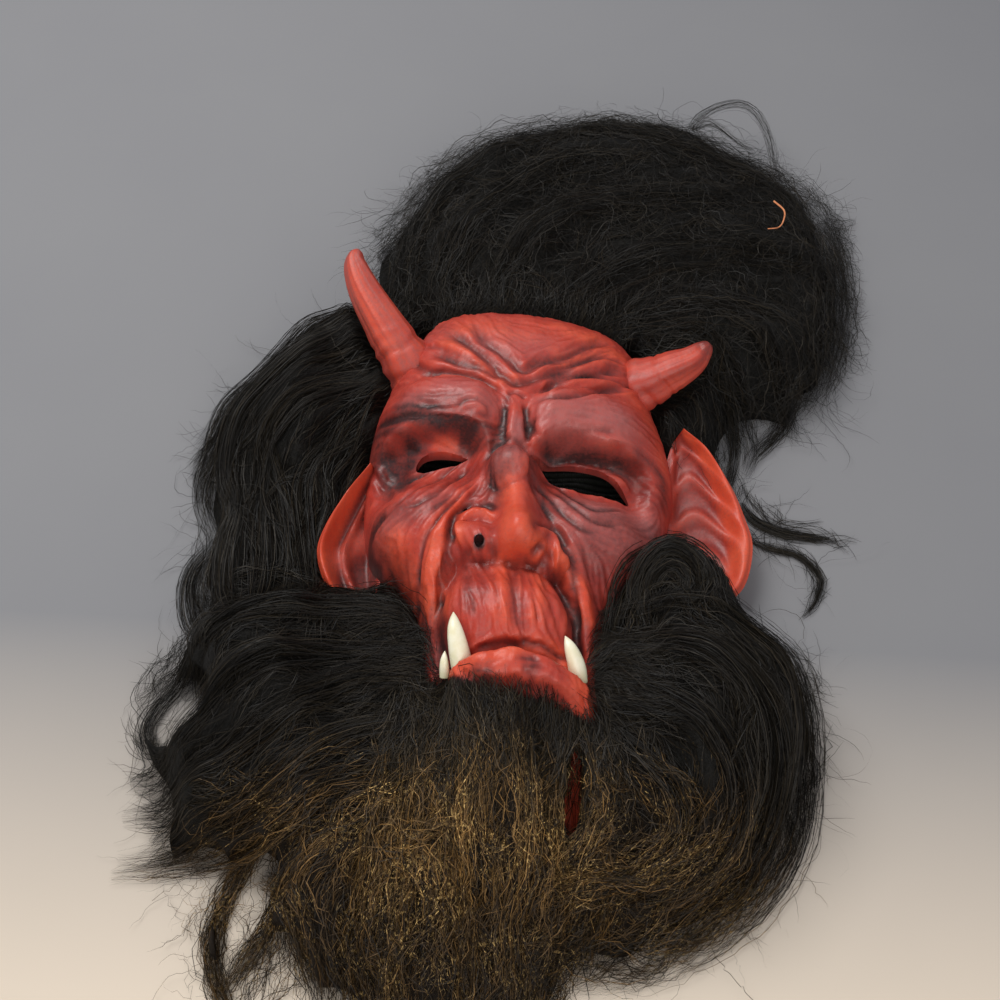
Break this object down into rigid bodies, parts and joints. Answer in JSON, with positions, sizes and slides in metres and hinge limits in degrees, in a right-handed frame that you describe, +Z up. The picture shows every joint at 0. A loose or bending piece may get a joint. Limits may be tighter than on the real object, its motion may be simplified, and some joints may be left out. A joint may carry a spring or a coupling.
{
  "type": "devil mask",
  "caption": "Horned devil mask of painted latex, hollow behind, with large ears, tusks, a knit back panel and long dark loose hair, lying face up.",
  "frame": {"origin": "on the surface that the mask lies on, under the middle of the face, on the underside of the knit back panel", "axes": "+Y from the chin to the crown, +Z up out of the face, +X to the right of someone looking down at the face"},
  "size_m": [0.4841, 0.7383, 0.1141],
  "materials": {
    "painted_latex": "satin painted latex, orange red with dark airbrushed creases",
    "tooth": "cream, slightly glossy",
    "knit": "dark ribbed knit",
    "hair": "long wavy black synthetic hair, brown at the tips of the beard"
  },
  "bodies": {
    "root": {"latex_face": "painted_latex", "tusk_left": "tooth", "tusk_right": "tooth", "small_tooth": "tooth", "knit_hood": "knit", "hair_crown": "hair", "hair_side_left": "hair", "hair_side_right": "hair", "hair_beard_left": "hair", "hair_beard_middle": "hair", "hair_beard_right": "hair"}
  },
  "joints": []
}
